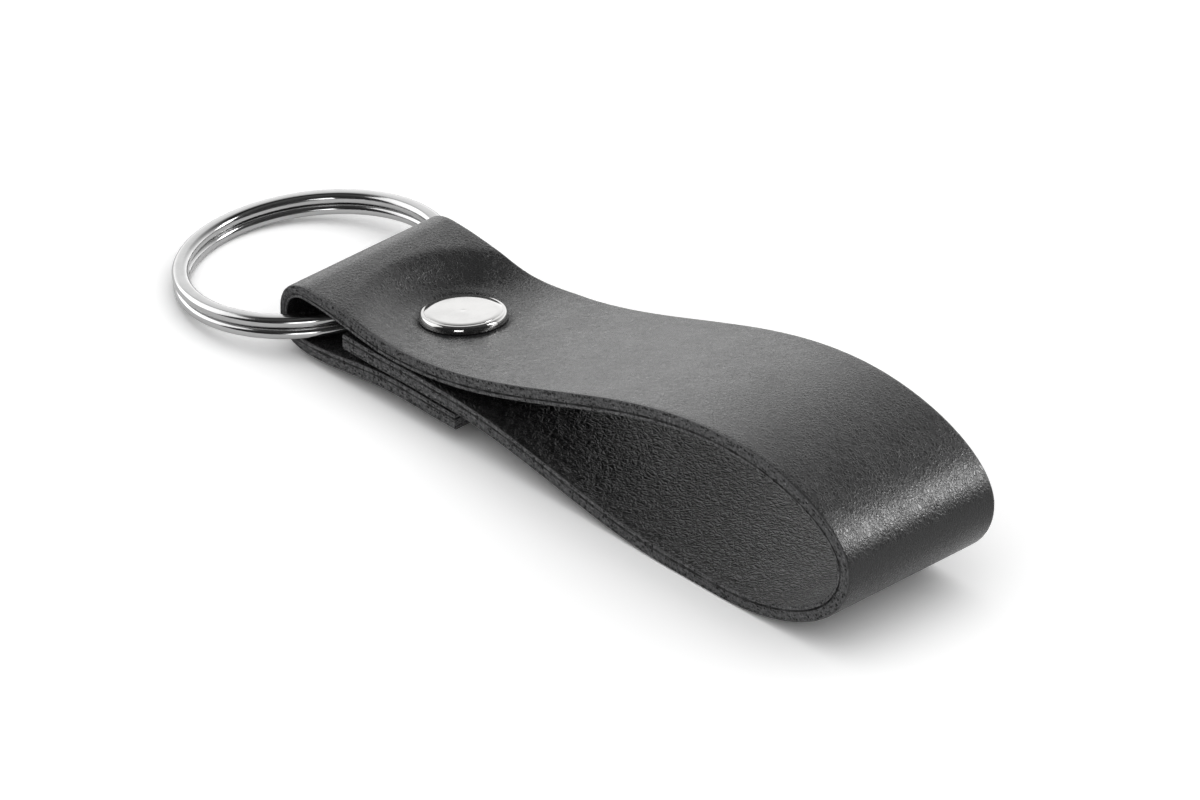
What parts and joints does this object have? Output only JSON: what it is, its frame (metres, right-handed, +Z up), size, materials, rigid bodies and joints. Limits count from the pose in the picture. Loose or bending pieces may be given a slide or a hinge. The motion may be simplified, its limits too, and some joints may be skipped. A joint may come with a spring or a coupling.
{
  "type": "loop key ring",
  "caption": "Leather strap folded into a flat finger loop, riveted through three layers, with a split ring held in a small fold at one end.",
  "frame": {"origin": "on the table under the middle of the whole object, ring included", "axes": "+X along the strap from the ring to the finger loop's bend, +Y across the strap, +Z up from the table"},
  "size_m": [0.1088, 0.03, 0.0201],
  "materials": {
    "grain_leather": "satin black, fine grain",
    "lining_leather": "matt black, fine grain",
    "rivet_nickel": "polished nickel plate",
    "rivet_brass": "bare drawn tube, hidden in the leather",
    "ring_steel": "polished nickel plate on spring steel"
  },
  "bodies": {
    "strap": {"strap_outer": "grain_leather", "strap_lining": "lining_leather", "rivet_top_cap": "rivet_nickel", "rivet_bottom_cap": "rivet_nickel", "rivet_post": "rivet_brass", "rivet_socket": "rivet_brass"},
    "ring": {"split_ring": "ring_steel"}
  },
  "joints": [
    {"name": "ring_swing", "type": "hinge", "parent": "strap", "child": "ring", "pos_m": [-0.02711, 0, 0.00484], "axis": [0, 1, 0], "range_deg": [-1.5, 26]}
  ]
}
